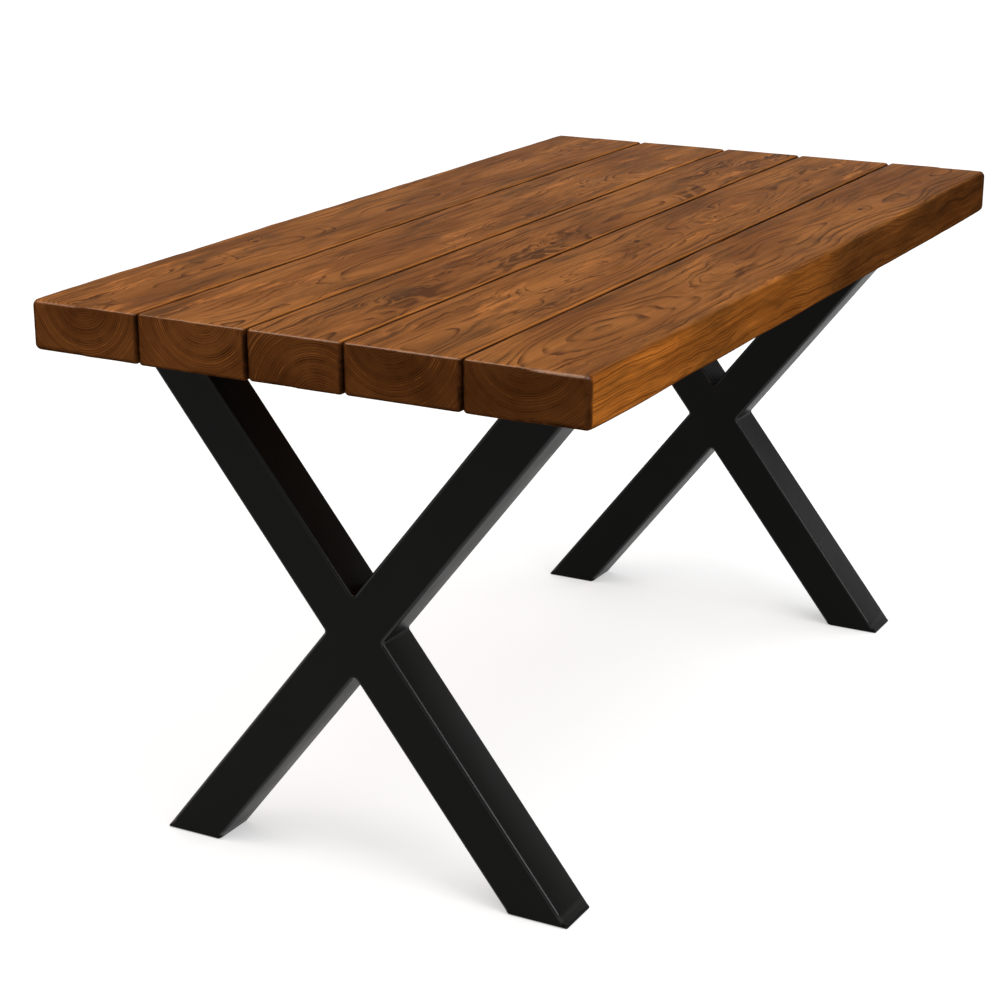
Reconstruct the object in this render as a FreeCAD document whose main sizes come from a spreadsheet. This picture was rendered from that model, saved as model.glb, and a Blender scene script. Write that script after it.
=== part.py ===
import FreeCAD, Part
import math
import os
import Sketcher

# Sawbuck table: five thick boards, laid side by side with open gaps, on two X-shaped frames of
# steel box section.  Millimetres, +Z up.  The origin is on the floor under the middle of the top,
# +X runs along the boards and +Y from the front long side to the rear one.

doc = FreeCAD.newDocument("sawbuck_table")
sheet = doc.addObject("Spreadsheet::Sheet", "sizes")
layout = doc.addObject("App::VarSet", "layout")
nodes = []
near_enough = 0.001

# Driving dimensions: each is a plain number in a cell of the sheet, under its own name.
driving_sizes = {
    # The top
    "table_length": 1500,
    "table_height": 780,
    "board_thickness": 67,
    "edge_board_width": 166,
    "inner_board_width": 161,
    "middle_board_width": 136,
    "board_gap": 2.5,
    "board_arris_radius": 5,
    "board_end_chamfer": 3,
    # The blind dowels that keep neighbouring boards level
    "dowel_diameter": 16,
    "dowel_length": 80,
    "dowel_count": 2,
    "dowel_end_distance": 400,
    "dowel_side_clearance": 0.1,
    "dowel_end_clearance": 1.5,
    # The box section, and how each frame stands
    "tube_size": 70,
    "tube_wall": 3,
    "tube_corner_radius": 5,
    "frame_inset": 123,
    "foot_stance": 546,
    "weld_radius": 5,
    # The feet
    "sole_thickness": 3,
    "pad_thickness": 2,
    "pad_inset": 3,
    # The flat bar that carries the boards
    "plate_thickness": 6,
    "plate_wing": 30,
    "plate_end_margin": 33,
    "plate_corner_radius": 12,
    "arm_end_margin": 26,
    "slot_width": 9,
    "slot_travel": 8,
    # The coach screws and their washers
    "screw_diameter": 8,
    "screw_length": 50,
    "screw_head_across_flats": 13,
    "screw_head_height": 5.5,
    "washer_diameter": 17,
    "washer_thickness": 1.6,
    "washer_clearance": 0.2,
    "pilot_clearance": 0.1,
    "pilot_depth_spare": 4,
}
for row, (alias, number) in enumerate(driving_sizes.items(), start=1):
    sheet.set(f"A{row}", alias)
    sheet.set(f"B{row}", str(number))
    sheet.setAlias(f"B{row}", alias)


def derive(name, formula):
    """A length that follows from the driving dimensions, bound to them under a name of its own."""
    layout.addProperty("App::PropertyFloat", name)
    layout.setExpression(name, formula)


# Heights, from the floor up
derive("tube_bottom", "sizes.pad_thickness + sizes.sole_thickness")
derive("underside", "sizes.table_height - sizes.board_thickness")
derive("plate_bottom", "layout.underside - sizes.plate_thickness")
derive("washer_bottom", "layout.plate_bottom - sizes.washer_thickness")

# Distances across the table, from its middle line
derive("inner_board_centre", "(sizes.middle_board_width + sizes.inner_board_width) / 2 + sizes.board_gap")
derive("edge_board_centre", "layout.inner_board_centre + sizes.board_gap"
       " + (sizes.inner_board_width + sizes.edge_board_width) / 2")
derive("plate_half_length", "layout.edge_board_centre + sizes.plate_end_margin")
derive("arm_half_stance", "layout.plate_half_length - sizes.arm_end_margin - sizes.tube_size / 2")
derive("foot_half_stance", "sizes.foot_stance / 2")

# The lean of the tubes: sideways travel for each millimetre of height, the crossing's height, and
# half the width of a level cut through a leaning tube and through its bore
derive("slope", "(layout.foot_half_stance + layout.arm_half_stance) / layout.underside")
derive("crossing_height", "layout.foot_half_stance / layout.slope")
derive("stretch", "sqrt(1 + layout.slope ^ 2)")
derive("tube_half_width", "sizes.tube_size / 2 * layout.stretch")
derive("bore_half_width", "(sizes.tube_size / 2 - sizes.tube_wall) * layout.stretch")
derive("notch_rise", "layout.tube_half_width / layout.slope")

# Distances along the table, from its middle
derive("frame_distance", "sizes.table_length / 2 - sizes.frame_inset - sizes.tube_size / 2")
derive("screw_row", "(sizes.tube_size + sizes.plate_wing) / 2")
derive("plate_half_width", "sizes.tube_size / 2 + sizes.plate_wing")
derive("dowel_span", "sizes.table_length - 2 * sizes.dowel_end_distance")
doc.recompute()


def value(formula):
    """The number that a formula over the sheet and the layout gives."""
    return float(layout.evalExpression(formula))


def new_body(name, along="0", across="0", up="0"):
    """A body for one node, placed by three formulas."""
    body = doc.addObject("PartDesign::Body", name)
    body.Label = name
    body.AllowCompound = True
    for axis, formula in zip("xyz", (along, across, up)):
        body.setExpression(f"Placement.Base.{axis}", formula)
    nodes.append(body)
    return body


def new_sketch(body, name, role, offset="0"):
    """A sketch on one of the body's own origin planes, or parallel to it at an offset."""
    sketch = body.newObject("Sketcher::SketchObject", f"{body.Name}_{name}")
    plane = next(feature for feature in body.Origin.OriginFeatures if feature.Role == role)
    sketch.AttachmentSupport = [(plane, "")]
    sketch.MapMode = "FlatFace"
    sketch.setExpression("AttachmentOffset.Base.z", offset)
    return sketch


def bound_constraint(sketch, kind, *place_and_formula):
    """A dimensional constraint whose last argument is the formula that drives it."""
    *place, formula = place_and_formula
    index = sketch.addConstraint(Sketcher.Constraint(kind, *place, value(formula)))
    sketch.setExpression(f"Constraints[{index}]", formula)


def pin_point(sketch, geometry, point, right, up):
    """Holds a point of the sketch at two formulas, measured from the sketch's origin."""
    bound_constraint(sketch, "DistanceX", -1, 1, geometry, point, right)
    bound_constraint(sketch, "DistanceY", -1, 1, geometry, point, up)


def join_ends(sketch, first, second):
    """Makes the end of one edge the start of the next."""
    sketch.addConstraint(Sketcher.Constraint("Coincident", first, 2, second, 1))


def draw_outline(sketch, corners):
    """A closed outline of straight lines through corners given as pairs of formulas."""
    points = [FreeCAD.Vector(value(right), value(up), 0) for right, up in corners]
    first = sketch.GeometryCount
    count = len(points)
    for corner in range(count):
        sketch.addGeometry(Part.LineSegment(points[corner], points[(corner + 1) % count]), False)
    for corner, (right, up) in enumerate(corners):
        join_ends(sketch, first + corner, first + (corner + 1) % count)
        pin_point(sketch, first + corner, 1, right, up)


def draw_circle(sketch, right, up, radius):
    """A circle whose centre and radius are formulas."""
    centre = FreeCAD.Vector(value(right), value(up), 0)
    circle = sketch.addGeometry(Part.Circle(centre, FreeCAD.Vector(0, 0, 1), value(radius)), False)
    pin_point(sketch, circle, 3, right, up)
    bound_constraint(sketch, "Radius", circle, radius)


def draw_slot(sketch, right, up, radius, half_travel):
    """A slot with round ends, long in the sketch's second direction."""
    axis = FreeCAD.Vector(0, 0, 1)
    lower = f"({up}) - ({half_travel})"
    upper = f"({up}) + ({half_travel})"
    low_centre = FreeCAD.Vector(value(right), value(lower), 0)
    high_centre = FreeCAD.Vector(value(right), value(upper), 0)
    side = FreeCAD.Vector(value(radius), 0, 0)
    low_circle = Part.Circle(low_centre, axis, value(radius))
    high_circle = Part.Circle(high_centre, axis, value(radius))
    low_arc = sketch.addGeometry(Part.ArcOfCircle(low_circle, math.pi, 2 * math.pi), False)
    right_line = sketch.addGeometry(Part.LineSegment(low_centre + side, high_centre + side), False)
    high_arc = sketch.addGeometry(Part.ArcOfCircle(high_circle, 0, math.pi), False)
    left_line = sketch.addGeometry(Part.LineSegment(high_centre - side, low_centre - side), False)
    loop = [low_arc, right_line, high_arc, left_line]
    for edge, following in zip(loop, loop[1:] + loop[:1]):
        sketch.addConstraint(Sketcher.Constraint("Tangent", edge, 2, following, 1))
    sketch.addConstraint(Sketcher.Constraint("Equal", low_arc, high_arc))
    bound_constraint(sketch, "Radius", low_arc, radius)
    pin_point(sketch, low_arc, 3, right, lower)
    pin_point(sketch, high_arc, 3, right, upper)


def draw_rounded_rectangle(sketch, middle_up, half_right, half_up, radius):
    """A rectangle about a point on the sketch's second axis, with its corners rounded."""
    corner_right = f"(({half_right}) - {radius})"
    corner_up = f"(({half_up}) - {radius})"
    quarters = [(1, 1), (-1, 1), (-1, -1), (1, -1)]
    arcs = []
    for turn, (right, up) in enumerate(quarters):
        centre = FreeCAD.Vector(right * value(corner_right), value(f"{middle_up} + {up} * {corner_up}"), 0)
        circle = Part.Circle(centre, FreeCAD.Vector(0, 0, 1), value(radius))
        start = turn * math.pi / 2
        arcs.append(sketch.addGeometry(Part.ArcOfCircle(circle, start, start + math.pi / 2), False))
    for arc, following, (right, up) in zip(arcs, arcs[1:] + arcs[:1], quarters):
        from_point = sketch.getPoint(arc, 2)
        to_point = sketch.getPoint(following, 1)
        line = sketch.addGeometry(Part.LineSegment(from_point, to_point), False)
        sketch.addConstraint(Sketcher.Constraint("Tangent", arc, 2, line, 1))
        sketch.addConstraint(Sketcher.Constraint("Tangent", line, 2, following, 1))
        pin_point(sketch, arc, 3, f"{right} * {corner_right}", f"{middle_up} + {up} * {corner_up}")
    for arc in arcs[1:]:
        sketch.addConstraint(Sketcher.Constraint("Equal", arcs[0], arc))
    bound_constraint(sketch, "Radius", arcs[0], radius)


def pad(body, sketch, length, side="One side", backwards=False):
    """Raises a sketch into a solid."""
    feature = body.newObject("PartDesign::Pad", f"{sketch.Name}_pad")
    feature.Profile = sketch
    feature.SideType = side
    feature.Reversed = backwards
    feature.setExpression("Length", length)
    doc.recompute()
    return feature


def pocket(body, sketch, depth, side="One side", backwards=False):
    """Cuts a sketch out of the body, and makes sure that it took something away."""
    before = body.Shape.Volume
    feature = body.newObject("PartDesign::Pocket", f"{sketch.Name}_pocket")
    feature.Profile = sketch
    feature.SideType = side
    feature.Reversed = backwards
    feature.setExpression("Length", depth)
    doc.recompute()
    if body.Shape.Volume >= before:
        raise ValueError(f"{feature.Name} cuts nothing")
    return feature


def repeat_along(body, feature, sketch, span, count):
    """Repeats a feature evenly along the sketch's first direction."""
    pattern = body.newObject("PartDesign::LinearPattern", f"{feature.Name}_row")
    pattern.Originals = [feature]
    pattern.Direction = (sketch, ["H_Axis"])
    pattern.setExpression("Length", span)
    pattern.setExpression("Occurrences", count)
    body.Tip = pattern
    doc.recompute()


def edge_names(shape, wanted):
    """The names of the shape's edges that a test picks out."""
    return [f"Edge{number}" for number, edge in enumerate(shape.Edges, start=1) if wanted(edge)]


def round_edges_along(body, base, direction, radius):
    """Rounds the edges of the body's last feature that run along a direction."""
    unit = FreeCAD.Vector(direction).normalize()

    def runs_along(edge):
        return edge.tangentAt(edge.FirstParameter).cross(unit).Length < near_enough

    feature = body.newObject("PartDesign::Fillet", f"{base.Name}_rounding")
    feature.Base = (base, edge_names(base.Shape, runs_along))
    feature.setExpression("Radius", radius)
    doc.recompute()
    return feature


# ---- The boards --------------------------------------------------------------------------------
# Planed softwood: the long arrises are rounded, and the sawn ends are chamfered all round.  A
# board's own zero height is its underside.

def board(name, centre, width, bored_sides, screw_side):
    """One board, with a row of blind dowel bores in each side that faces another board, and a pilot
    bore over each of its two coach screws."""
    body = new_body(name, across=centre, up="layout.underside")
    section = new_sketch(body, "section", "YZ_Plane")
    half = f"({width}) / 2"
    draw_outline(section, [(f"-{half}", "0"), (half, "0"), (half, "sizes.board_thickness"),
                           (f"-{half}", "sizes.board_thickness")])
    blank = pad(body, section, "sizes.table_length", side="Symmetric")
    planed = round_edges_along(body, blank, (1, 0, 0), "sizes.board_arris_radius")
    ends = body.newObject("PartDesign::Chamfer", f"{name}_ends")
    ends.Base = (planed, edge_names(planed.Shape, lambda edge: edge.BoundBox.XLength < near_enough))
    ends.setExpression("Size", "sizes.board_end_chamfer")
    doc.recompute()

    pilots = new_sketch(body, "pilot_bores", "XY_Plane")
    for end in (-1, 1):
        draw_circle(pilots, f"{end} * (layout.frame_distance + {screw_side} * layout.screw_row)", "0",
                    "sizes.screw_diameter / 2 + sizes.pilot_clearance")
    pilot_depth = "sizes.screw_length - sizes.plate_thickness - sizes.washer_thickness"
    pocket(body, pilots, f"{pilot_depth} + sizes.pilot_depth_spare", backwards=True)

    # The XZ plane looks towards -Y, so a negative offset is on the +Y side.
    for side in bored_sides:
        bores = new_sketch(body, f"{side}_bores", "XZ_Plane", half if side == "front" else f"-{half}")
        draw_circle(bores, "-layout.dowel_span / 2", "sizes.board_thickness / 2",
                    "sizes.dowel_diameter / 2 + sizes.dowel_side_clearance")
        bore_depth = "(sizes.dowel_length - sizes.board_gap) / 2 + sizes.dowel_end_clearance"
        first_bore = pocket(body, bores, bore_depth, backwards=side == "rear")
        repeat_along(body, first_bore, bores, "layout.dowel_span", "sizes.dowel_count")


# Each board's name, centre and width, the sides that face another board, and the row of its screws:
# 1 is the row nearer to the table's end, and -1 the row nearer to its middle.
boards = [
    ("front_edge_board", "-layout.edge_board_centre", "sizes.edge_board_width", ["rear"], 1),
    ("front_inner_board", "-layout.inner_board_centre", "sizes.inner_board_width", ["front", "rear"], -1),
    ("middle_board", "0", "sizes.middle_board_width", ["front", "rear"], 1),
    ("rear_inner_board", "layout.inner_board_centre", "sizes.inner_board_width", ["front", "rear"], -1),
    ("rear_edge_board", "layout.edge_board_centre", "sizes.edge_board_width", ["front"], 1),
]
for name, centre, width, bored_sides, screw_side in boards:
    board(name, centre, width, bored_sides, screw_side)


# ---- The dowels --------------------------------------------------------------------------------
# Beech dowels, blind in both boards, in the middle of their thickness.

def dowels(name, gap_centre):
    """The row of dowels that crosses one gap between boards."""
    body = new_body(name, across=gap_centre, up="layout.underside + sizes.board_thickness / 2")
    section = new_sketch(body, "section", "XZ_Plane")
    draw_circle(section, "-layout.dowel_span / 2", "0", "sizes.dowel_diameter / 2")
    first_dowel = pad(body, section, "sizes.dowel_length", side="Symmetric")
    repeat_along(body, first_dowel, section, "layout.dowel_span", "sizes.dowel_count")


middle_gap = "(sizes.middle_board_width + sizes.board_gap) / 2"
edge_gap = f"{middle_gap} + sizes.inner_board_width + sizes.board_gap"
dowels("front_edge_dowels", f"-({edge_gap})")
dowels("front_middle_dowels", f"-({middle_gap})")
dowels("rear_middle_dowels", middle_gap)
dowels("rear_edge_dowels", edge_gap)


# ---- The leaning box section -------------------------------------------------------------------
# A lean of 1 is a tube with its foot at the front and its head at the rear, and -1 the other one.

def centre_line(lean, height):
    """Where a leaning tube's centre line is at a height."""
    return f"{lean} * (layout.slope * ({height}) - layout.foot_half_stance)"


def leaning_strip(lean, low, high, half_width):
    """The four corners of a strip along a tube's centre line, cut level at two heights."""
    low_centre = centre_line(lean, low)
    high_centre = centre_line(lean, high)
    return [(f"{low_centre} - ({half_width})", low), (f"{low_centre} + ({half_width})", low),
            (f"{high_centre} + ({half_width})", high), (f"{high_centre} - ({half_width})", high)]


def tube(name, frame_side, lean, corners):
    """A length of box section: its side outline, the four leaning edges rounded, and the bore."""
    body = new_body(name, along=f"{frame_side} * layout.frame_distance")
    outline = new_sketch(body, "side", "YZ_Plane")
    draw_outline(outline, corners)
    blank = pad(body, outline, "sizes.tube_size", side="Symmetric")
    round_edges_along(body, blank, (0, lean * layout.slope, 1), "sizes.tube_corner_radius")
    bore = new_sketch(body, "bore", "YZ_Plane")
    draw_outline(bore, leaning_strip(lean, "0", "sizes.table_height", "layout.bore_half_width"))
    pocket(body, bore, "sizes.tube_size - 2 * sizes.tube_wall", side="Symmetric")


def sole_plate(name, frame_side, lean):
    """The plate that closes a tube's level cut, ground flush with the leaning tube all round."""
    body = new_body(name, along=f"{frame_side} * layout.frame_distance", up="sizes.pad_thickness")
    plan = new_sketch(body, "plan", "XY_Plane")
    draw_rounded_rectangle(plan, centre_line(lean, "sizes.pad_thickness"), "sizes.tube_size / 2",
                           "layout.tube_half_width", "sizes.tube_corner_radius")
    sole = pad(body, plan, "sizes.sole_thickness")
    sole.UseCustomVector = True
    sole.AlongSketchNormal = True
    sole.Direction = FreeCAD.Vector(0, lean * layout.slope, 1)
    sole.setExpression("Direction.y", f"{lean} * layout.slope")
    doc.recompute()


def floor_pad(name, frame_side, lean):
    """A square-cut piece of sheet under a sole plate, a little smaller all round."""
    body = new_body(name, along=f"{frame_side} * layout.frame_distance")
    plan = new_sketch(body, "plan", "XY_Plane")
    side = "sizes.tube_size / 2 - sizes.pad_inset"
    rear = f"{centre_line(lean, '0')} + layout.tube_half_width - sizes.pad_inset"
    front = f"{centre_line(lean, '0')} - layout.tube_half_width + sizes.pad_inset"
    draw_outline(plan, [(f"-({side})", front), (side, front), (side, rear), (f"-({side})", rear)])
    pad(body, plan, "sizes.pad_thickness")


def upper_half(lean):
    """Outline of the arm above the crossing: its lower end lies on the through tube's side."""
    head = centre_line(lean, "layout.plate_bottom")
    return [(f"{lean} * layout.tube_half_width", "layout.crossing_height"),
            ("0", "layout.crossing_height + layout.notch_rise"),
            (f"{head} - {lean} * layout.tube_half_width", "layout.plate_bottom"),
            (f"{head} + {lean} * layout.tube_half_width", "layout.plate_bottom")]


def lower_half(lean):
    """Outline of the leg below the crossing: its upper end lies on the through tube's side."""
    foot = centre_line(lean, "layout.tube_bottom")
    return [("0", "layout.crossing_height - layout.notch_rise"),
            (f"{-lean} * layout.tube_half_width", "layout.crossing_height"),
            (f"{foot} - {lean} * layout.tube_half_width", "layout.tube_bottom"),
            (f"{foot} + {lean} * layout.tube_half_width", "layout.tube_bottom")]


# ---- The crossing's welds ----------------------------------------------------------------------
# A concave fillet weld fills each of the four notches of the X.

def draw_weld(sketch, right, up, opening, half_angle):
    """The section of one fillet weld: a notch point, two legs along the tube faces and an arc that
    touches both.  The opening is the direction that the notch faces, in degrees."""
    leg = f"sizes.weld_radius / tan({half_angle})"
    reach = f"sizes.weld_radius / sin({half_angle})"
    ends = [(f"{right} + {leg} * cos({opening} deg {turn} {half_angle})",
             f"{up} + {leg} * sin({opening} deg {turn} {half_angle})") for turn in ("+", "-")]
    notch, first_end, last_end = [FreeCAD.Vector(value(across), value(height), 0)
                                  for across, height in [(right, up)] + ends]
    facing = math.radians(opening)
    centre = notch + FreeCAD.Vector(math.cos(facing), math.sin(facing), 0) * value(reach)
    circle = Part.Circle(centre, FreeCAD.Vector(0, 0, 1), value("sizes.weld_radius"))
    start = facing + math.pi / 2 + math.radians(value(half_angle))
    finish = facing + 3 * math.pi / 2 - math.radians(value(half_angle))
    leg_out = sketch.addGeometry(Part.LineSegment(notch, first_end), False)
    arc = sketch.addGeometry(Part.ArcOfCircle(circle, start, finish), False)
    leg_back = sketch.addGeometry(Part.LineSegment(last_end, notch), False)
    join_ends(sketch, leg_out, arc)
    join_ends(sketch, arc, leg_back)
    join_ends(sketch, leg_back, leg_out)
    pin_point(sketch, leg_out, 1, right, up)
    pin_point(sketch, arc, 1, *ends[0])
    pin_point(sketch, arc, 2, *ends[1])
    bound_constraint(sketch, "Radius", arc, "sizes.weld_radius")


def crossing_welds(name, frame_side):
    """The four fillet welds of one crossing, as long as the flat of the tube's side."""
    body = new_body(name, along=f"{frame_side} * layout.frame_distance")
    sections = new_sketch(body, "sections", "YZ_Plane")
    steep = "atan(layout.slope)"
    flat = "(90 deg - atan(layout.slope))"
    draw_weld(sections, "0", "layout.crossing_height + layout.notch_rise", 90, steep)
    draw_weld(sections, "0", "layout.crossing_height - layout.notch_rise", 270, steep)
    draw_weld(sections, "-layout.tube_half_width", "layout.crossing_height", 180, flat)
    draw_weld(sections, "layout.tube_half_width", "layout.crossing_height", 0, flat)
    pad(body, sections, "sizes.tube_size - 2 * sizes.tube_corner_radius", side="Symmetric")


# ---- The top plate and its fixings -------------------------------------------------------------
# Each board has one fixing at each frame.  They zigzag from one side of the arms to the other.

def screw_places(frame_side):
    """Where one frame's screws are, as pairs of formulas from the middle of its top plate."""
    return [(f"{frame_side * screw_side} * layout.screw_row", centre)
            for name, centre, width, bored_sides, screw_side in boards]


def top_plate(name, frame_side):
    """The flat bar across the frame's head.  The middle board's holes are round; the other boards'
    are slots along the plate, because the boards swell and shrink across their width."""
    body = new_body(name, along=f"{frame_side} * layout.frame_distance", up="layout.plate_bottom")
    plan = new_sketch(body, "plan", "XY_Plane")
    draw_outline(plan, [("-layout.plate_half_width", "-layout.plate_half_length"),
                        ("layout.plate_half_width", "-layout.plate_half_length"),
                        ("layout.plate_half_width", "layout.plate_half_length"),
                        ("-layout.plate_half_width", "layout.plate_half_length")])
    bar = pad(body, plan, "sizes.plate_thickness")
    round_edges_along(body, bar, (0, 0, 1), "sizes.plate_corner_radius")
    holes = new_sketch(body, "holes", "XY_Plane")
    for row, centre in screw_places(frame_side):
        if centre == "0":
            draw_circle(holes, row, centre, "sizes.slot_width / 2")
        else:
            draw_slot(holes, row, centre, "sizes.slot_width / 2", "sizes.slot_travel / 2")
    pocket(body, holes, "sizes.plate_thickness", backwards=True)


def coach_screws(name, frame_side):
    """Hexagon-head wood screws, driven up through the plate into the boards."""
    body = new_body(name, along=f"{frame_side} * layout.frame_distance", up="layout.washer_bottom")
    shanks = new_sketch(body, "shanks", "XY_Plane")
    heads = new_sketch(body, "heads", "XY_Plane")
    corner_radius = "sizes.screw_head_across_flats / sqrt(3)"
    for row, centre in screw_places(frame_side):
        draw_circle(shanks, row, centre, "sizes.screw_diameter / 2")
        draw_outline(heads, [(f"{row} + {corner_radius} * cos({turn} deg)",
                              f"{centre} + {corner_radius} * sin({turn} deg)")
                             for turn in range(0, 360, 60)])
    pad(body, shanks, "sizes.screw_length")
    pad(body, heads, "sizes.screw_head_height", backwards=True)


def washers(name, frame_side):
    """Plain washers between the screw heads and the plate."""
    body = new_body(name, along=f"{frame_side} * layout.frame_distance", up="layout.washer_bottom")
    rings = new_sketch(body, "rings", "XY_Plane")
    for row, centre in screw_places(frame_side):
        draw_circle(rings, row, centre, "sizes.washer_diameter / 2")
        draw_circle(rings, row, centre, "sizes.screw_diameter / 2 + sizes.washer_clearance")
    pad(body, rings, "sizes.washer_thickness")


# ---- The two frames ----------------------------------------------------------------------------
# The tube with its foot at the front goes through; the other one is two halves butted to it.

through_lean = 1
for frame_name, frame_side in (("left", -1), ("right", 1)):
    through = leaning_strip(through_lean, "layout.tube_bottom", "layout.plate_bottom",
                            "layout.tube_half_width")
    tube(f"{frame_name}_through_tube", frame_side, through_lean, through)
    tube(f"{frame_name}_upper_tube", frame_side, -through_lean, upper_half(-through_lean))
    tube(f"{frame_name}_lower_tube", frame_side, -through_lean, lower_half(-through_lean))
    crossing_welds(f"{frame_name}_crossing_welds", frame_side)
    for foot_name, foot_lean in (("front", 1), ("rear", -1)):
        sole_plate(f"{frame_name}_{foot_name}_sole_plate", frame_side, foot_lean)
        floor_pad(f"{frame_name}_{foot_name}_floor_pad", frame_side, foot_lean)
    top_plate(f"{frame_name}_top_plate", frame_side)
    coach_screws(f"{frame_name}_coach_screws", frame_side)
    washers(f"{frame_name}_washers", frame_side)

doc.recompute()
for item in doc.Objects:
    if "Invalid" in item.State or "Error" in item.State:
        raise ValueError(f"{item.Name} failed: {item.State}")
for node in nodes:
    if node.Shape.isNull() or not node.Shape.isValid() or not node.Shape.Solids:
        raise ValueError(f"{node.Label} has no valid solid")

os.makedirs("parts", exist_ok=True)
for node in nodes:
    node.Shape.exportStep(f"parts/{node.Label}.step")
    print(f"{node.Label}: {len(node.Shape.Solids)} solids, {node.Shape.Volume:.0f} mm3")
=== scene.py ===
import math

import bmesh
import bpy
import numpy as np
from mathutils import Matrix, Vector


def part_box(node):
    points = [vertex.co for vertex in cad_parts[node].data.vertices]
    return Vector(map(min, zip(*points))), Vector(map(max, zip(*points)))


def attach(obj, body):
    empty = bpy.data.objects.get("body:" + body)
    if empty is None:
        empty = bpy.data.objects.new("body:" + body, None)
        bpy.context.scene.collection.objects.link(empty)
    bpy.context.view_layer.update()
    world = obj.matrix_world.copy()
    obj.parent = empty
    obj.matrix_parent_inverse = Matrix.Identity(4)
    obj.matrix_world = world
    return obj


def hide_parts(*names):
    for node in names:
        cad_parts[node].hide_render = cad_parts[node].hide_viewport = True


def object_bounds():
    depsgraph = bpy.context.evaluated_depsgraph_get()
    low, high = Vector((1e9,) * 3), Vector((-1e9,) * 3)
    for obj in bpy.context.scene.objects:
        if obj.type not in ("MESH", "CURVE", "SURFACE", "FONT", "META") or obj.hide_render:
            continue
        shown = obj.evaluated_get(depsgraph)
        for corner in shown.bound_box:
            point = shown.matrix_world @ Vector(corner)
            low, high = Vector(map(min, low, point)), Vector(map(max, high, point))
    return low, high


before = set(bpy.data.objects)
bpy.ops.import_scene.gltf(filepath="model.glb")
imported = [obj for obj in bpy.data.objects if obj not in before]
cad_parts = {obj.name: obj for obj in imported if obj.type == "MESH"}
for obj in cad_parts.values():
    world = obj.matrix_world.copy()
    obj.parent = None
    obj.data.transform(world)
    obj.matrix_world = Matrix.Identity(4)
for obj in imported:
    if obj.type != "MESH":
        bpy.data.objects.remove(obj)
cad_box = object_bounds()


# ---- The boards ---------------------------------------------------------------------------------
# Five planed softwood boards, sawn near the heart, so their ends show growth rings as arcs and
# their faces show cathedral figure.  The arrises are eased by hand, and the whole board is stained
# warm brown and finished with a satin varnish.  The end grain drinks more stain and is darker, and
# each board's end is darkened further by its own painted shade.

def spread(low, high, count):
    """Evenly spaced values from low to high, both included."""
    return np.linspace(low, high, count)


def waves(along, across, seed, shortest, longest, terms=9):
    """A smooth random field, mostly between -1 and 1: a sum of sine waves of random direction and
    phase, whose lengths lie between shortest and longest, over the root of their number."""
    chance = np.random.default_rng(seed)
    total = np.zeros(np.broadcast(along, across).shape)
    for _ in range(terms):
        length = math.exp(chance.uniform(math.log(shortest), math.log(longest)))
        heading = chance.uniform(-0.5, 0.5) * math.pi
        phase = chance.uniform(0, 2 * math.pi)
        turn = 2 * math.pi / length
        total += np.sin(turn * (math.cos(heading) * along + math.sin(heading) * across) + phase)
    return total / math.sqrt(terms)


def edge_lines(half, arris, spacing, turn_lines=8):
    """Grid lines from -half to half: evenly spaced on the flat, and close together where the face
    turns over the arris."""
    flat = half - arris
    middle = spread(-flat, flat, max(3, int(round(2 * flat / spacing)) + 1))
    turn = flat + arris * np.tan(spread(0, math.pi / 4, turn_lines)[1:])
    return np.concatenate([-turn[::-1], middle, turn])


def grid_quads(rows, columns, first=0):
    """Quads between neighbouring points of a grid that is stored row by row."""
    index = np.arange(rows * columns).reshape(rows, columns) + first
    return np.stack([index[:-1, :-1], index[1:, :-1], index[1:, 1:], index[:-1, 1:]], -1).reshape(-1, 4)


def gridded_box(lines):
    """The six gridded faces of a box as one closed mesh: corner points and quads.  Each face is a
    grid over two of the three sets of lines, and points that faces share are made one."""
    points, quads, first = [], [], 0
    for axis in range(3):
        rows, columns = [lines[other] for other in range(3) if other != axis]
        row, column = np.meshgrid(rows, columns, indexing="ij")
        for end in (0, -1):
            face = np.insert(np.stack([row.ravel(), column.ravel()], 1), axis, lines[axis][end], axis=1)
            face_quads = grid_quads(len(rows), len(columns), first)
            outward = (end == -1) != (axis == 1)
            points.append(face)
            quads.append(face_quads if outward else face_quads[:, ::-1])
            first += len(face)
    points = np.concatenate(points)
    _, kept, merged = np.unique(np.round(points, 7), axis=0, return_index=True, return_inverse=True)
    return points[kept], merged.ravel()[np.concatenate(quads)]


def make_piece(name, points, faces, shares, material, replaced):
    """A piece of the object: its mesh with smooth faces and its material, under the body root, with the CAD
    nodes that it replaces hidden.
    A share is one number for each point, kept within 0 and 1, that the material reads by name."""
    mesh = bpy.data.meshes.new(name)
    mesh.from_pydata(points.tolist(), [], faces)
    outward = bmesh.new()
    outward.from_mesh(mesh)
    bmesh.ops.recalc_face_normals(outward, faces=outward.faces)
    outward.to_mesh(mesh)
    outward.free()
    mesh.polygons.foreach_set("use_smooth", np.ones(len(mesh.polygons), bool))
    for share_name, share in shares.items():
        attribute = mesh.attributes.new(share_name, "FLOAT", "POINT")
        attribute.data.foreach_set("value", np.clip(share, 0, 1))
    mesh.update()
    piece = bpy.data.objects.new(name, mesh)
    bpy.context.scene.collection.objects.link(piece)
    mesh.materials.append(material)
    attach(piece, "root")
    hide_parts(*replaced)
    return piece


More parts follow.
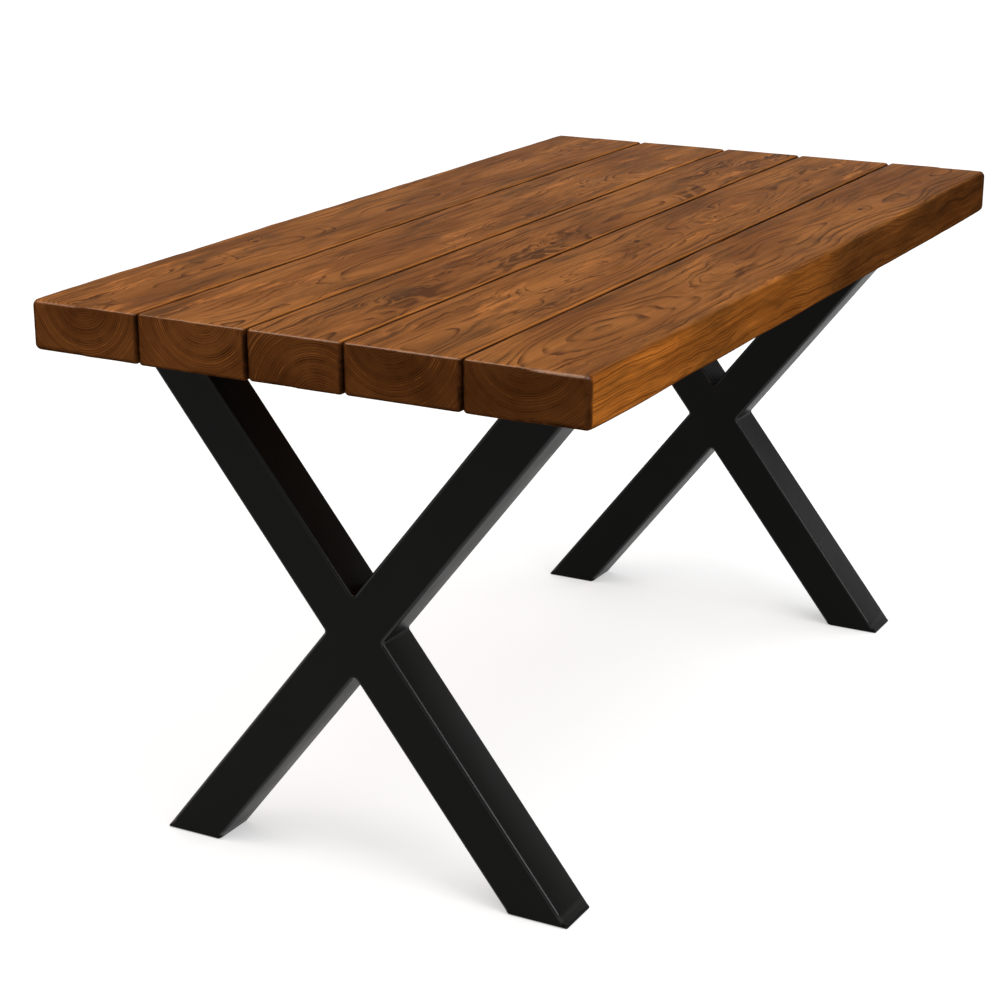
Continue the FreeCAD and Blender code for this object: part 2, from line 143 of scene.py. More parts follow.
class Finish:
    """A material being put together: each call adds one shader node and gives its output."""

    def __init__(self, name):
        self.material = bpy.data.materials.new(name)
        self.material.use_nodes = True
        self.tree = self.material.node_tree
        self.surface = self.tree.nodes["Principled BSDF"]

    def feed(self, socket, source):
        if isinstance(source, bpy.types.NodeSocket):
            self.tree.links.new(source, socket)
        else:
            socket.default_value = source

    def node(self, kind, output=0, inputs=None, **settings):
        made = self.tree.nodes.new(kind)
        for key, setting in settings.items():
            setattr(made, key, setting)
        for key, source in (inputs or {}).items():
            self.feed(made.inputs[key], source)
        return made.outputs[output]

    def place(self):
        """Object coordinates, in metres along the table's own axes."""
        return self.node("ShaderNodeTexCoord", "Object")

    def share(self, name):
        """One of the shares that the mesh holds for each of its points."""
        return self.node("ShaderNodeAttribute", "Fac", attribute_name=name)

    def mapped(self, vector, move=(0, 0, 0), scale=(1, 1, 1)):
        return self.node("ShaderNodeMapping", inputs={"Vector": vector, "Location": move, "Scale": scale})

    def noise(self, vector, scale=1.0, detail=2.0, roughness=0.5, distortion=0.0, output="Fac"):
        return self.node("ShaderNodeTexNoise", output, {
            "Vector": vector, "Scale": scale, "Detail": detail, "Roughness": roughness,
            "Distortion": distortion})

    def math(self, operation, first, second=0.0):
        return self.node("ShaderNodeMath", inputs={0: first, 1: second}, operation=operation)

    def product(self, first, *others):
        for other in others:
            first = self.math("MULTIPLY", first, other)
        return first

    def vector_math(self, operation, first, second=(0, 0, 0), output="Vector"):
        return self.node("ShaderNodeVectorMath", output, {0: first, 1: second}, operation=operation)

    def span(self, value, low, high, to_low=0.0, to_high=1.0, smooth=True):
        """The value's way from low to high, as a smooth or a straight step between two others."""
        return self.node("ShaderNodeMapRange", inputs={
            "Value": value, "From Min": low, "From Max": high, "To Min": to_low, "To Max": to_high},
            interpolation_type="SMOOTHSTEP" if smooth else "LINEAR")

    def mix(self, share, first, second, blend="MIX"):
        """Two colours blended by a share: the node's sockets 0, 6 and 7, and its output 2."""
        made = self.tree.nodes.new("ShaderNodeMix")
        made.data_type = "RGBA"
        made.blend_type = blend
        for socket, source in zip((made.inputs[0], made.inputs[6], made.inputs[7]), (share, first, second)):
            self.feed(socket, source)
        return made.outputs[2]

    def mix_value(self, share, first, second):
        return self.node("ShaderNodeMix", inputs={"Factor": share, "A": first, "B": second})

    def bump(self, height, distance, strength=1.0):
        self.feed(self.surface.inputs["Normal"], self.node("ShaderNodeBump", "Normal", {
            "Height": height, "Distance": distance, "Strength": strength}))

    def set(self, **sockets):
        for name, source in sockets.items():
            self.feed(self.surface.inputs[name.replace("_", " ")], source)


def colour(red, green, blue, scale=1.0):
    """An opaque colour from 8-bit display values, made linear and scaled."""
    def linear(level):
        share = level / 255
        return scale * (share / 12.92 if share <= 0.04045 else ((share + 0.055) / 1.055) ** 2.4)
    return (linear(red), linear(green), linear(blue), 1.0)


top_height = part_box("middle_board")[1].z


class StainedSoftwood(Finish):
    """Solid wood in three dimensions.  The growth-ring number of a point is its distance from a
    heart, a line along the board that wanders, over the ring width; a knot pushes the rings
    outwards by a bell curve.  The ends show rings about the board's own heart.  The faces are cut
    nearly along the rings, about a heart further off, so small waves in them draw flames and
    loops.  Calm and curly stretches take turns along the board.  Each ring darkens slowly to its
    latewood and ends sharply."""

    ring_width, uneven_rings = 0.0034, 1.6  # in metres, and in rings
    pattern_shift = 3.7  # times the seed, keeps the boards' patterns apart
    knot_length, knot_breadth, knot_push = 3.2, 1.7, 2.4  # in sizes of the knot
    further_up, further_down = -0.075, 0.055  # each puts the faces' heart further from the board
    further_across = 0.012  # moves it aside as well
    # The long sides are multiplied by the first colour at the near end and by the second towards +X: the
    # second is painted shade.
    light_stain, heavy_stain = (0.95, 0.79, 0.46, 1.0), (0.27, 0.25, 0.24, 1.0)

    def __init__(self, name, heart, seed, knots, painted_end_light):
        super().__init__(name)
        self.stem = self.mapped(self.place(), move=(seed * self.pattern_shift, -heart[0], -heart[1]))
        self.end_grain, self.long_side = self.share("end_grain"), self.share("long_side")
        self.grow_rings(self.further_up if heart[1] > top_height else self.further_down, knots)
        self.draw_grain()
        # Long sides: darker and more orange than the top, and darker still towards +X, where the darkening is
        # painted shade.
        sides = self.mix(self.long_side, self.face_colour(), self.side_tint_and_shade(), "MULTIPLY")
        # A paler colour on the front-facing top arris behind a gap: painted highlight.
        sides = self.mix(self.painted_highlight_share(), sides, colour(172, 108, 52))
        # End grain: its colour is darkened by each board's own painted shade.
        tone = self.mix(self.end_grain, sides, self.end_colour(painted_end_light))
        # Dark brown on the gaps' sides, the upright corners and the lower arrises: painted shade.
        dust_and_painted_shade = self.mix(self.span(self.streak, 0.35, 0.65), colour(20, 10, 4), colour(58, 31, 13))
        tone = self.mix(self.product(self.share("painted_shade"), 0.95), tone, dust_and_painted_shade)
        varnish = self.product(self.share("varnish"), self.span(self.fibre, 0.36, 0.60, 0.55, 1.0))
        self.set(Base_Color=tone, Roughness=self.span(self.fibre, 0.3, 0.8, 0.40, 0.58),
                 Specular_IOR_Level=0.0, Coat_Weight=varnish, Coat_Roughness=0.2,
                 Coat_Tint=(1.0, 0.93, 0.86, 1.0))
        relief = self.math("ADD", self.product(self.latewood, 0.55), self.product(self.fibre, 0.45))
        self.bump(relief, distance=0.0006, strength=0.6)

    def drifted(self, point, drifts):
        """The point after waves have moved it across the board.  A drift holds its waves' scales
        along and across the board, and their reach."""
        for number, (along, across, reach) in enumerate(drifts):
            wave = self.mapped(self.stem, move=(number, 0, 0), scale=(along, across, across))
            offset = self.vector_math("SUBTRACT", self.noise(wave, output="Color"), (0.5, 0.5, 0.5))
            offset = self.vector_math("MULTIPLY", offset, (0, reach, reach))
            point = self.vector_math("ADD", point, offset)
        return point

    def from_heart(self, point):
        """The point's distance from the heart, which runs along the board."""
        across = self.vector_math("MULTIPLY", point, (0, 1, 1))
        return self.vector_math("LENGTH", across, output="Value")

    def grow_rings(self, face_heart, knots):
        """The place of each point within its ring, its share of latewood, and the knots' cores."""
        curl = self.noise(self.mapped(self.stem, move=(6, 6, 6), scale=(2.6, 10.0, 10.0)))
        curl = self.span(curl, 0.44, 0.62, 0.12, 1.0)
        self.curl = self.math("MAXIMUM", curl, self.product(self.long_side, 0.8))
        face_stem = self.mapped(self.stem, move=(0, self.further_across, face_heart))
        calm_point = self.drifted(face_stem, [(2.0, 6.5, 0.050)])
        curly_point = self.drifted(calm_point, [(8.0, 19.0, 0.019), (23.0, 64.0, 0.0052)])
        self.face_point = self.mix(self.curl, calm_point, curly_point)
        end_point = self.drifted(self.stem, [(1.3, 5.0, 0.022), (14.0, 34.0, 0.0016)])
        radius = self.mix_value(self.end_grain, self.from_heart(self.face_point), self.from_heart(end_point))
        self.knot_core = 0.0
        for along, across, size in knots:
            length, breadth = self.knot_length * size, self.knot_breadth * size
            from_knot = self.mapped(self.place(), move=(-along / length, -across / breadth, 0),
                                    scale=(1 / length, 1 / breadth, 0))
            away = self.vector_math("LENGTH", from_knot, output="Value")
            bell = self.math("EXPONENT", self.product(self.math("POWER", away, 2.0), -1.0))
            radius = self.math("ADD", radius, self.product(bell, self.knot_push * size))
            self.knot_core = self.math("MAXIMUM", self.span(away, 0.42, 0.26), self.knot_core)
        uneven = self.node("ShaderNodeTexNoise", "Fac", {"W": self.product(radius, 60.0), "Detail": 1.0},
                           noise_dimensions="1D")
        number = self.math("DIVIDE", radius, self.ring_width)
        number = self.math("ADD", number, self.product(uneven, self.uneven_rings))
        self.ring = self.math("FRACT", number)
        self.latewood = self.product(self.span(self.ring, 0.30, 0.88), self.span(self.ring, 1.0, 0.94))

    def draw_grain(self):
        """Fibres, streaks and patches, all drawn out along the board."""
        self.fibre = self.noise(self.mapped(self.stem, scale=(9.0, 520.0, 520.0)),
                                detail=3.0, roughness=0.6)
        self.grain = self.noise(self.mapped(self.stem, move=(3, 1, 8), scale=(4.5, 190.0, 190.0)),
                                detail=3.0, roughness=0.6)
        self.streak = self.noise(self.mapped(self.face_point, scale=(7.0, 52.0, 52.0)),
                                 detail=3.0, roughness=0.6)
        self.blotch = self.noise(self.mapped(self.stem, move=(4, 4, 4), scale=(3.2, 13.0, 13.0)),
                                 detail=3.0, roughness=0.55)
        self.smoke = self.noise(self.mapped(self.face_point, move=(9, 2, 5), scale=(4.5, 30.0, 30.0)),
                                detail=5.0, roughness=0.64, distortion=0.4)
        self.glow = self.noise(self.mapped(self.face_point, move=(1, 7, 3), scale=(7.0, 56.0, 56.0)),
                               detail=4.0, roughness=0.62, distortion=0.5)

    def face_colour(self):
        """Orange-brown earlywood, dark thin latewood, smoky patches and lighter flames."""
        body = self.mix(self.span(self.blotch, 0.30, 0.72), colour(120, 73, 35), colour(153, 98, 49))
        flames = self.product(self.span(self.glow, 0.52, 0.66, 0.0, 0.62), self.curl,
                              self.span(self.long_side, 0.0, 1.0, 1.0, 0.6))
        body = self.mix(flames, body, colour(190, 120, 60))
        rings = self.product(self.latewood, self.span(self.streak, 0.36, 0.62, 0.16, 0.88),
                             self.span(self.long_side, 0.0, 1.0, 1.0, 0.8))
        body = self.mix(rings, body, colour(72, 41, 18))
        body = self.mix(self.span(self.smoke, 0.44, 0.74, 0.0, 0.66), body, colour(66, 46, 27))
        body = self.mix(self.span(self.grain, 0.46, 0.74, 0.0, 0.40), body, colour(80, 47, 21))
        body = self.mix(self.span(self.fibre, 0.50, 0.78, 0.0, 0.28), body, colour(66, 34, 15))
        return self.mix(self.product(self.knot_core, 0.8), body, colour(46, 22, 10))

    def end_colour(self, painted_end_light):
        """Deep brown, with thin dark and pale arcs, all darkened by the board's painted shade on its end, and
        the arcs fainter where that painted shade is deeper.
        """
        contrast = min(1.0, 1.1 * painted_end_light + 0.3)
        ends = self.mix(self.span(self.blotch, 0.3, 0.7),
                        colour(82, 45, 19, painted_end_light), colour(108, 63, 29, painted_end_light))
        dark_arcs = self.product(
            self.latewood, self.span(self.streak, 0.36, 0.64, 0.26 * contrast, 0.70 * contrast))
        ends = self.mix(dark_arcs, ends, colour(42, 20, 8, painted_end_light))
        pale_arcs = self.product(
            self.span(self.ring, 0.20, 0.0), self.span(self.streak, 0.42, 0.64, 0.06, 0.5 * contrast))
        ends = self.mix(pale_arcs, ends, colour(160, 98, 44, painted_end_light))
        speck = self.noise(self.mapped(self.stem, scale=(40.0, 900.0, 900.0)))
        return self.mix(self.span(speck, 0.5, 0.8, 0.0, 0.45), ends, colour(38, 18, 7, painted_end_light))

    def side_tint_and_shade(self):
        """What the long sides keep of each colour: darker and more orange than the top at the near end, and
        much darker past about the middle of the length, towards +X; that darkening along the length is
        painted shade, where the light falls off.  The blotches break up the border."""
        start, length = cad_box[0][0], cad_box[1][0] - cad_box[0][0]
        along = self.mapped(self.place(), move=(-start / length, 0, 0), scale=(1 / length, 0, 0))
        along = self.vector_math("DOT_PRODUCT", along, (1, 0, 0), output="Value")
        along = self.math("ADD", along, self.span(self.blotch, 0.3, 0.7, -0.04, 0.04))
        along = self.math("MAXIMUM", along, self.span(along, 0.41, 0.57, 0.0, 0.90))
        return self.mix(along, self.light_stain, self.heavy_stain)

    def painted_highlight_share(self):
        """How much of the paler colour, a painted highlight, the arris takes, in broken streaks."""
        return self.product(self.share("painted_highlight"), self.span(self.grain, 0.35, 0.65, 0.15, 0.75),
                            self.span(self.streak, 0.36, 0.60, 0.25, 1.0))


plain_arris, least_arris = 0.0052, 0.0030
arris_wander, most_wander = 0.0011, 2.2
corner_ease, corner_reach = 0.0030, 0.014
face_swell = 0.00018
line_spacing = (0.010, 0.008, 0.008)


def eased_board(half, seed, gaps, soft_edge):
    """A gridded box, each point of which is moved to the nearest point of an inner box plus the
    arris radius times the direction from there.  The radius varies along the board as the hand
    plane left it, and grows by a bell curve at the table's outer corners.  A soft edge widens the
    front top arris.  The faces have a shallow swell.  Gives the points about the board's middle,
    the quads and the outward directions."""
    widest = plain_arris + most_wander * arris_wander + max(soft_edge, corner_ease * (len(gaps) < 2))
    points, quads = gridded_box([edge_lines(half[axis], widest, line_spacing[axis]) for axis in range(3)])
    x, y, z = points.T
    first_seed = 40 * seed  # the board's arrises draw from this seed and the next few
    edge_seed = first_seed + 2 * (y > 0) + (z > 0)
    arris = np.full(len(points), plain_arris)
    for key in np.unique(edge_seed):
        chosen = edge_seed == key
        arris[chosen] += arris_wander * waves(x[chosen], 0 * x[chosen], int(key), 0.05, 0.5)
    softened = soft_edge * (0.6 + 0.4 * waves(x, 0 * x, first_seed + 9, 0.10, 0.6))
    arris += softened * ((y < 0) & (z > 0))
    outer_side = ("rear" not in gaps) * 1 - ("front" not in gaps) * 1
    arris += (y * outer_side > 0) * corner_ease * np.exp(-((half[0] - abs(x)) / corner_reach) ** 2)
    arris = np.clip(arris, least_arris, widest)[:, None]
    inner = np.clip(points, arris - half, half - arris)
    away = points - inner
    normal = away / np.linalg.norm(away, axis=1, keepdims=True)
    swell = face_swell * waves(x, y + z, seed, 0.05, 0.6)
    return inner + normal * (arris + np.minimum(swell, 0)[:, None]), quads, normal


def climb(value, low, high):
    """The value's way in a straight line from low, where it gives 0, to high, where it gives 1."""
    return (value - low) / (high - low)


def board_shares(normal, gaps):
    """Where each finish of the board lies, by the way its surface faces.  The top arris that faces the
    front, behind a gap, takes a paler colour: painted highlight.  The gaps' own sides, the upright
    corners and the lower arrises take a dark brown: painted shade.  The varnish is thin on top and
    thick on the arris of the end."""
    out_x, out_y, out_z = abs(normal[:, 0]), normal[:, 1], normal[:, 2]
    rear_gap, front_gap = "rear" in gaps, "front" in gaps
    # Painted shade on the board's sides that face a gap, and on the upright corners and lower arrises
    # (hidden_arris).
    painted_shade = np.maximum(climb(out_y, 0.20, 0.65) * rear_gap, climb(-out_y, 0.60, 0.85) * front_gap)
    sideways = np.maximum(out_x, abs(out_y))
    hidden_arris = np.maximum(np.minimum(out_x, abs(out_y)), np.minimum(sideways, -out_z))
    # Painted highlight: a paler band on the top arris that faces the front, behind a gap.
    painted_highlight = np.minimum(climb(-out_y, 0.12, 0.27), climb(-out_y, 0.72, 0.57))
    return {"end_grain": climb(out_x - 0.75 * np.clip(out_z, 0, 0.6), 0.25, 0.50),
            "long_side": climb(abs(out_y), 0.45, 0.90),
            "painted_highlight": painted_highlight * (out_z > 0) * front_gap,
            "painted_shade": np.maximum(painted_shade, 1.5 * hidden_arris),
            "varnish": np.maximum(0.32 * climb(out_z, 0.8, 1.0), climb(np.minimum(out_x, out_z), 0.42, 0.62))}


def board_piece(node, heart, seed, knots, painted_end_light, gaps=("front", "rear"), soft_edge=0.0, nick=None):
    """A finished board.  The heart is given across from the board's middle line and up from the
    top, and a knot along the table, across from the middle line, and by its size.  A nick, given
    by its place, reach and depth, is a bell-shaped dent."""
    low, high = [np.array(corner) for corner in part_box(node)]
    centre = (low + high) / 2
    shape, quads, normal = eased_board((high - low) / 2, seed, gaps, soft_edge)
    shape += centre
    if nick is not None:
        place, reach, depth = nick
        bell = np.exp(-((shape - np.array(place)) ** 2 / np.array(reach) ** 2).sum(1))
        shape -= depth * bell[:, None] * normal
    wood = StainedSoftwood(f"{node}_stain", (centre[1] + heart[0], top_height + heart[1]), seed,
                           [(along, centre[1] + across, size) for along, across, size in knots], painted_end_light)
    make_piece(f"{node}_wood", shape, quads.tolist(), board_shares(normal, gaps),
               wood.material, [node])


near_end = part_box("middle_board")[0].x
front_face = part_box("front_edge_board")[0].y
nick_place = (near_end, front_face, top_height - 0.034)
nick_reach, nick_depth = (0.005, 0.005, 0.006), 0.004
# The end value of each board darkens its end grain by its own amount: painted shade, deepest on the front
# edge board.
board_piece("rear_edge_board", heart=(0.001, 0.014), seed=1, knots=[(-0.31, 0.033, 0.006)],
            painted_end_light=0.74, gaps=("front",))
board_piece("rear_inner_board", heart=(-0.019, 0.014), seed=2, knots=[(0.30, -0.021, 0.006)],
            painted_end_light=0.80)
board_piece("middle_board", heart=(-0.034, -0.088), seed=3, knots=[(-0.12, -0.03, 0.007)],
            painted_end_light=0.68)
board_piece("front_inner_board", heart=(0.015, 0.022), seed=4,
            knots=[(-0.05, 0.021, 0.007), (0.52, -0.019, 0.006)], painted_end_light=0.62)
board_piece("front_edge_board", heart=(-0.001, 0.026), seed=8, knots=[(0.33, -0.013, 0.007)],
            painted_end_light=0.48, gaps=("rear",), soft_edge=0.003, nick=(nick_place, nick_reach, nick_depth))


# ---- The dowels ---------------------------------------------------------------------------------
# Bare beech, turned smooth.  They sit in blind bores of two neighbouring boards, across the gap,
# and keep the boards level with each other.

def bare_beech():
    """Straight fine grain along the dowel, with the short dark flecks of beech."""
    wood = Finish("bare_beech")
    place = wood.place()
    grain = wood.noise(wood.mapped(place, scale=(420.0, 14.0, 420.0)), detail=3.0, roughness=0.6)
    fleck = wood.noise(wood.mapped(place, scale=(900.0, 130.0, 900.0)), detail=1.0)
    tone = wood.mix(wood.span(grain, 0.3, 0.7), colour(206, 170, 128), colour(186, 145, 101))
    tone = wood.mix(wood.span(fleck, 0.62, 0.72, 0.0, 0.6), tone, colour(140, 98, 62))
    wood.set(Base_Color=tone, Roughness=wood.span(grain, 0.3, 0.7, 0.55, 0.7))
    wood.bump(grain, distance=0.0002, strength=0.5)
    return wood.material


def carry(node_names, material):
    """Gives CAD nodes that stay in view their finish."""
    for node_name in node_names:
        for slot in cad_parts[node_name].material_slots:
            slot.material = material


carry(["front_edge_dowels", "front_middle_dowels", "rear_middle_dowels", "rear_edge_dowels"], bare_beech())


# ---- The X frames -------------------------------------------------------------------------------
# Box section, coped and welded at the crossing, with the butt welds ground flush and the notches
# left as small fillets.  The whole frame is powder-coated black after welding, so no seam shows.

def powder_coat():
    """Black powder coat: a fine orange-peel relief, a gloss that varies slightly, and a shine on
    the rounded arrises, where the powder flows out smooth."""
    coat = Finish("black_powder_coat")
    place = coat.place()
    peel = coat.noise(place, scale=620.0, detail=1.5)
    grit = coat.noise(place, scale=1700.0, detail=1.0)
    cloud = coat.noise(place, scale=9.0, detail=3.0)
    tone = coat.mix(coat.span(cloud, 0.3, 0.7), colour(7, 7, 6), colour(10, 10, 9))
    coat.set(Base_Color=tone, Roughness=coat.span(cloud, 0.3, 0.7, 0.36, 0.44), Specular_IOR_Level=0.06,
             Coat_Weight=coat.product(coat.share("arris"), 0.5), Coat_Roughness=0.25)
    coat.bump(coat.math("ADD", peel, coat.product(grit, 0.4)), distance=0.00012, strength=0.6)
    return coat.material


black_coat = powder_coat()
tube_corner, corner_points = 0.005, 8
notch_fillet, fillet_points = 0.005, 13
leg_points = 24


def frame_measures(side):
    """Sizes of one frame from its CAD tubes.  With a, the crossing's height over the foot, Y, the
    foot's reach from the middle, and h, half the tube: Y = slope * a + h * sqrt(1 + slope^2)."""
    low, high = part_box(f"{side}_through_tube")
    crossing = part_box(f"{side}_upper_tube")[0].z
    half_tube = (high.x - low.x) / 2
    rise, reach = crossing - low.z, -low.y
    root = half_tube * math.sqrt(reach ** 2 + rise ** 2 - half_tube ** 2)
    slope = (rise * reach - root) / (rise ** 2 - half_tube ** 2)
    return {"middle": (low.x + high.x) / 2, "half_tube": half_tube, "slope": slope, "crossing": crossing,
            "foot": low.z, "head": high.z}


def notch_chain(measures, opening, inset):
    """One open side of the X, seen along the table: down one tube, round the notch's fillet and
    along the other tube.  Each point lies at the inset inside the metal, so the fillet's arc has
    radius fillet + inset about the same centre.  The opening is the way that the notch faces."""
    stretch = math.hypot(1, measures["slope"])
    lean = math.atan(measures["slope"])
    half_width = measures["half_tube"] * stretch
    upright = opening in ("up", "down")
    sign = 1 if opening in ("up", "rear") else -1
    half_angle = lean if upright else math.pi / 2 - lean
    facing = {"rear": 0.0, "up": 0.5, "front": 1.0, "down": 1.5}[opening] * math.pi
    notch = np.array([0.0, measures["crossing"]])
    notch += sign * np.array([0.0, half_width / measures["slope"]] if upright else [half_width, 0.0])
    centre = notch + notch_fillet / math.sin(half_angle) * np.array([math.cos(facing), math.sin(facing)])
    turn = spread(facing + math.pi / 2 + half_angle, facing + 3 * math.pi / 2 - half_angle, fillet_points)
    arc = centre + (notch_fillet + inset) * np.stack([np.cos(turn), np.sin(turn)], 1)
    ends = []
    for way, start in ((1, arc[0]), (-1, arc[-1])):
        direction = np.array([math.cos(facing + way * half_angle), math.sin(facing + way * half_angle)])
        level = measures["head"] if direction[1] > 0 else measures["foot"]
        ends.append(start + direction * (level - start[1]) / direction[1])
    legs = spread(0, 1, leg_points)[:, None]
    first_leg = ends[0] + (arc[0] - ends[0]) * legs
    last_leg = arc[-1] + (ends[1] - arc[-1]) * legs
    return np.concatenate([first_leg[:-1], arc, last_leg[1:]])


def tube_profile(half_tube):
    """One side of the tube's section: a quarter round, a flat and a quarter round.  Gives for each
    point its inset from the side, its place along the table, and its share of arris, which is the
    sine of twice the quarter's angle: 1 in the middle of a round and 0 at its ends."""
    quarter = spread(0, math.pi / 2, corner_points)
    inset = tube_corner * (1 - np.sin(quarter))
    depth = half_tube - tube_corner * (1 - np.cos(quarter))
    bend = np.sin(2 * quarter)
    return (np.concatenate([inset, inset[::-1]]), np.concatenate([-depth, depth[::-1]]),
            np.concatenate([bend, bend[::-1]]))


def x_frame(side):
    """The coated frame: over each open side of the X, the tube's profile is carried along the
    chain, and the two flat faces of the X and the four level cuts close the skin."""
    measures = frame_measures(side)
    inset, depth, bend = tube_profile(measures["half_tube"])
    points, arris, faces, loops, first = [], [], [], [], 0
    for opening in ("up", "rear", "down", "front"):
        rows = np.stack([notch_chain(measures, opening, step) for step in inset])
        across = np.broadcast_to((measures["middle"] + depth)[:, None, None], rows.shape[:2] + (1,))
        count = rows.shape[1]
        points.append(np.concatenate([across, rows], axis=2).reshape(-1, 3))
        arris.append(np.repeat(bend, count))
        faces += grid_quads(len(inset), count, first).tolist()
        loops.append(np.arange(len(inset) * count).reshape(len(inset), count) + first)
        first += len(inset) * count
    faces.append(np.concatenate([loop[0] for loop in loops]).tolist()[::-1])
    faces.append(np.concatenate([loop[-1] for loop in loops]).tolist())
    for before, after in zip(loops, loops[1:] + loops[:1]):
        faces.append(before[:, -1].tolist()[::-1] + after[:, 0].tolist())
    tubes = [f"{side}_through_tube", f"{side}_upper_tube", f"{side}_lower_tube", f"{side}_crossing_welds"]
    piece = make_piece(f"{side}_frame_coat", np.concatenate(points), faces, {"arris": np.concatenate(arris)},
                       black_coat, tubes)
    for polygon in piece.data.polygons:
        polygon.use_smooth = len(polygon.vertices) == 4


for side in ("left", "right"):
    x_frame(side)
    carry([f"{side}_top_plate", f"{side}_front_sole_plate", f"{side}_rear_sole_plate"], black_coat)


# ---- The floor pads -----------------------------------------------------------------------------
# Black rubber sheet with an adhesive back, cut a little smaller than the level-cut foot and pressed
# on under its sole plate.

def black_rubber():
    """Matt rubber with a fine moulded grain and a trace of dust."""
    rubber = Finish("black_rubber")
    place = rubber.place()
    grain = rubber.noise(place, scale=1300.0)
    dust_and_painted_shade = rubber.noise(place, scale=60.0, detail=4.0)
    tone = rubber.mix(rubber.span(dust_and_painted_shade, 0.5, 0.8, 0.0, 0.3), colour(26, 26, 26), colour(58, 56, 52))
    rubber.set(Base_Color=tone, Roughness=rubber.span(dust_and_painted_shade, 0.3, 0.7, 0.7, 0.85))
    rubber.bump(grain, distance=0.0002, strength=0.6)
    return rubber.material


carry([f"{side}_{foot}_floor_pad" for side in ("left", "right") for foot in ("front", "rear")],
      black_rubber())


# ---- The coach screws and washers ---------------------------------------------------------------
# Hexagon-head wood screws and plain washers of steel, bright zinc plated.  They come up through the
# slots of the top plates, and hold each board down on both.

def bright_zinc():
    """Bright zinc: a cool metal with faint crystals and fine scratches."""
    zinc = Finish("bright_zinc")
    place = zinc.place()
    crystal = zinc.noise(place, scale=380.0, detail=3.0, distortion=0.8)
    scratch = zinc.noise(zinc.mapped(place, scale=(300.0, 2600.0, 900.0)))
    tone = zinc.mix(zinc.span(crystal, 0.3, 0.7), colour(186, 188, 188), colour(212, 211, 204))
    zinc.set(Base_Color=tone, Metallic=1.0, Roughness=zinc.span(scratch, 0.3, 0.7, 0.28, 0.42))
    zinc.bump(scratch, distance=0.00008, strength=0.4)
    return zinc.material


carry([f"{side}_{part}" for side in ("left", "right") for part in ("coach_screws", "washers")],
      bright_zinc())


# ---- The studio ---------------------------------------------------------------------------------
# A white floor that runs out of view, two distant soft lights from above, and a surround that is
# bright overhead.  Three square windows, over the table, in front of it and beyond it, add gloss to
# the top's near end, the near frame's arrises and the far frame.

def studio_floor():
    """A matt white floor that also glows, less where something stands close over it, so that it
    stays white and keeps only faint shadows."""
    reach, count = 400.0, 3
    shaded_glow, open_glow = 0.42, 0.72
    row, column = np.meshgrid(spread(-reach, reach, count), spread(-reach, reach, count), indexing="ij")
    points = np.stack([row.ravel(), column.ravel(), np.zeros(row.size)], 1)
    mesh = bpy.data.meshes.new("studio_floor")
    mesh.from_pydata(points.tolist(), [], grid_quads(count, count).tolist())
    floor = bpy.data.objects.new("studio_floor", mesh)
    bpy.context.scene.collection.objects.link(floor)
    white = Finish("studio_white")
    openness = white.node("ShaderNodeAmbientOcclusion", "AO", {"Distance": 0.25})
    glow = white.span(openness, 0.0, 1.0, shaded_glow, open_glow, smooth=False)
    white.set(Base_Color=(0.42, 0.42, 0.42, 1.0), Roughness=1.0, Specular_IOR_Level=0.0,
              Emission_Color=(1, 1, 1, 1), Emission_Strength=glow)
    mesh.materials.append(white.material)


def hang_light(light, direction, place=(0, 0, 0)):
    """Puts a light at a place, turned so that it shines along a direction."""
    lamp = bpy.data.objects.new(light.name, light)
    bpy.context.scene.collection.objects.link(lamp)
    lamp.location = place
    down = np.array(direction, float) / np.linalg.norm(direction)
    lamp.rotation_euler = (math.acos(-down[2]), 0, math.atan2(down[1], down[0]) - math.pi / 2)


def studio_light(name, direction, strength, softness):
    """A distant light, as wide in the sky as its softness in degrees."""
    light = bpy.data.lights.new(name, "SUN")
    light.energy = strength
    light.angle = math.radians(softness)
    hang_light(light, direction)


def studio_window(name, place, target, radiance, size, tint=(1, 1, 1)):
    """A square soft light that hangs near the table and faces a point of it.  Its power is pi
    times its radiance times its area."""
    light = bpy.data.lights.new(name, "AREA")
    light.color = tint
    light.energy = radiance * math.pi * size ** 2
    light.size = size
    hang_light(light, np.array(target) - np.array(place), place)


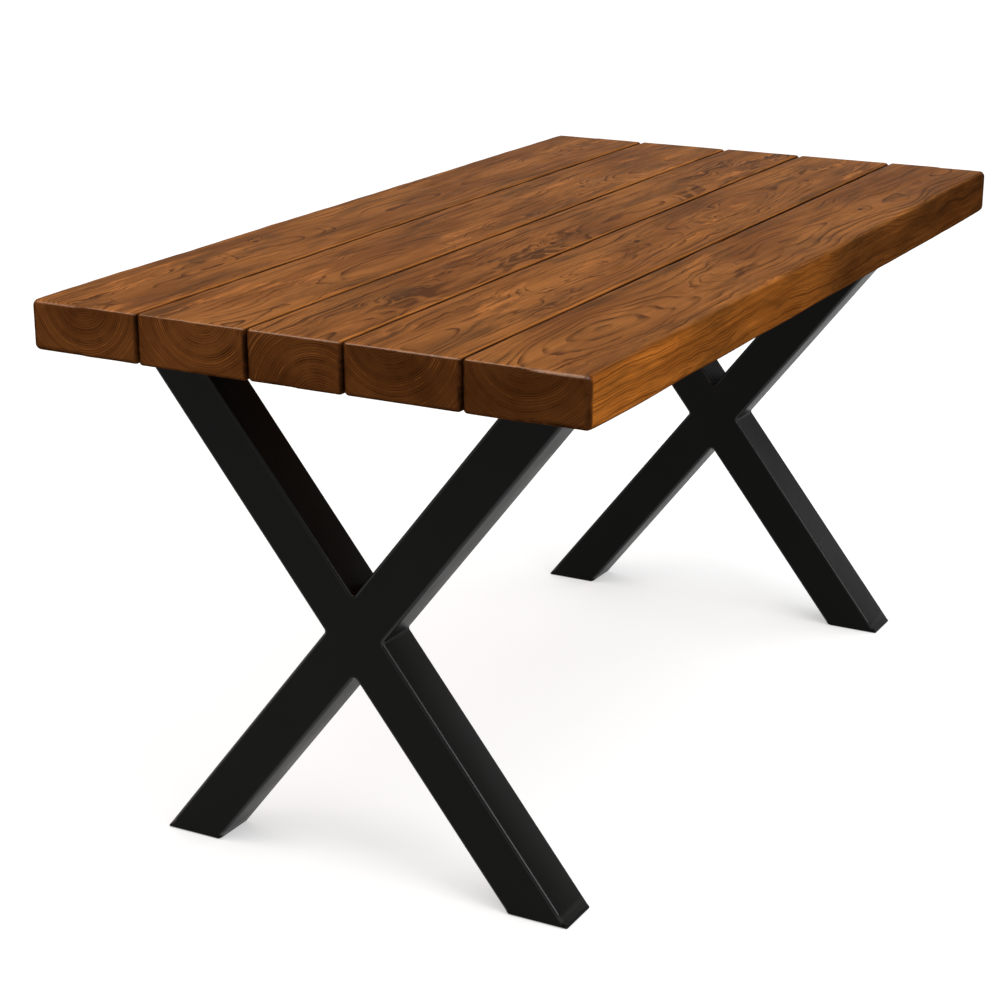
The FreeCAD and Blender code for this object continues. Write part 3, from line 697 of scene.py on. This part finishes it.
def surround():
    """The room: bright overhead, dim at the height of the windows, and pale where it meets the
    floor.  It is the brighter of two ramps over the height of the direction looked in, of which
    the ceiling's leans towards the front."""
    world = bpy.data.worlds.new("studio")
    bpy.context.scene.world = world
    world.use_nodes = True
    tree = world.node_tree
    sky = tree.nodes["Background"]
    direction = tree.nodes.new("ShaderNodeTexCoord").outputs["Generated"]
    axes = tree.nodes.new("ShaderNodeSeparateXYZ")
    tree.links.new(direction, axes.inputs[0])
    towards_front = -0.2
    lean = tree.nodes.new("ShaderNodeMath")
    lean.operation = "MULTIPLY_ADD"
    lean.inputs[1].default_value = towards_front
    tree.links.new(axes.outputs["Y"], lean.inputs[0])
    tree.links.new(axes.outputs["Z"], lean.inputs[2])
    brightest = tree.nodes.new("ShaderNodeMath")
    brightest.operation = "MAXIMUM"
    ceiling, skirting = (0.35, 1.0, 0.10, 1.0), (0.20, 0.03, 0.0, 0.97)
    for number, (height, limits) in enumerate(((lean.outputs[0], ceiling), (axes.outputs["Z"], skirting))):
        ramp = tree.nodes.new("ShaderNodeMapRange")
        ramp.interpolation_type = "SMOOTHSTEP"
        tree.links.new(height, ramp.inputs["Value"])
        for socket, limit in zip(("From Min", "From Max", "To Min", "To Max"), limits):
            ramp.inputs[socket].default_value = limit
        tree.links.new(ramp.outputs[0], brightest.inputs[number])
    tree.links.new(brightest.outputs[0], sky.inputs["Strength"])
    sky.inputs["Color"].default_value = (1, 1, 1, 1)


def set_camera():
    """The viewpoint: a long lens at standing height, off the near end's front corner."""
    camera = bpy.data.cameras.new("camera")
    camera.sensor_width = 36.0
    camera.lens = 82.22
    eye = bpy.data.objects.new("camera", camera)
    bpy.context.scene.collection.objects.link(eye)
    yaw, pitch = 0.494, 0.317
    eye.location = (-2.9827, -1.4865, 1.4476)
    eye.rotation_euler = (math.pi / 2 - pitch, 0, yaw - math.pi / 2)
    bpy.context.scene.camera = eye


studio_floor()
studio_light("key_light", direction=(0.15, 0.6, -1.0), strength=0.9, softness=35)
studio_light("top_light", direction=(0.1, 0.1, -1.0), strength=0.3, softness=60)
studio_window("overhead_box", place=(-1.68, 1.35, 3.3), target=(-0.6, 0.0, 0.78), radiance=4.0, size=1.6,
              tint=(1.0, 0.86, 0.72))
studio_window("front_box", place=(-1.3, -2.7, 1.5), target=(-0.6, -0.4, 0.6), radiance=7.0, size=1.2)
studio_window("far_box", place=(2.3, -1.4, 0.95), target=(0.6, -0.3, 0.3), radiance=2.4, size=1.0)
surround()
set_camera()
bpy.context.scene.view_settings.view_transform = "Standard"
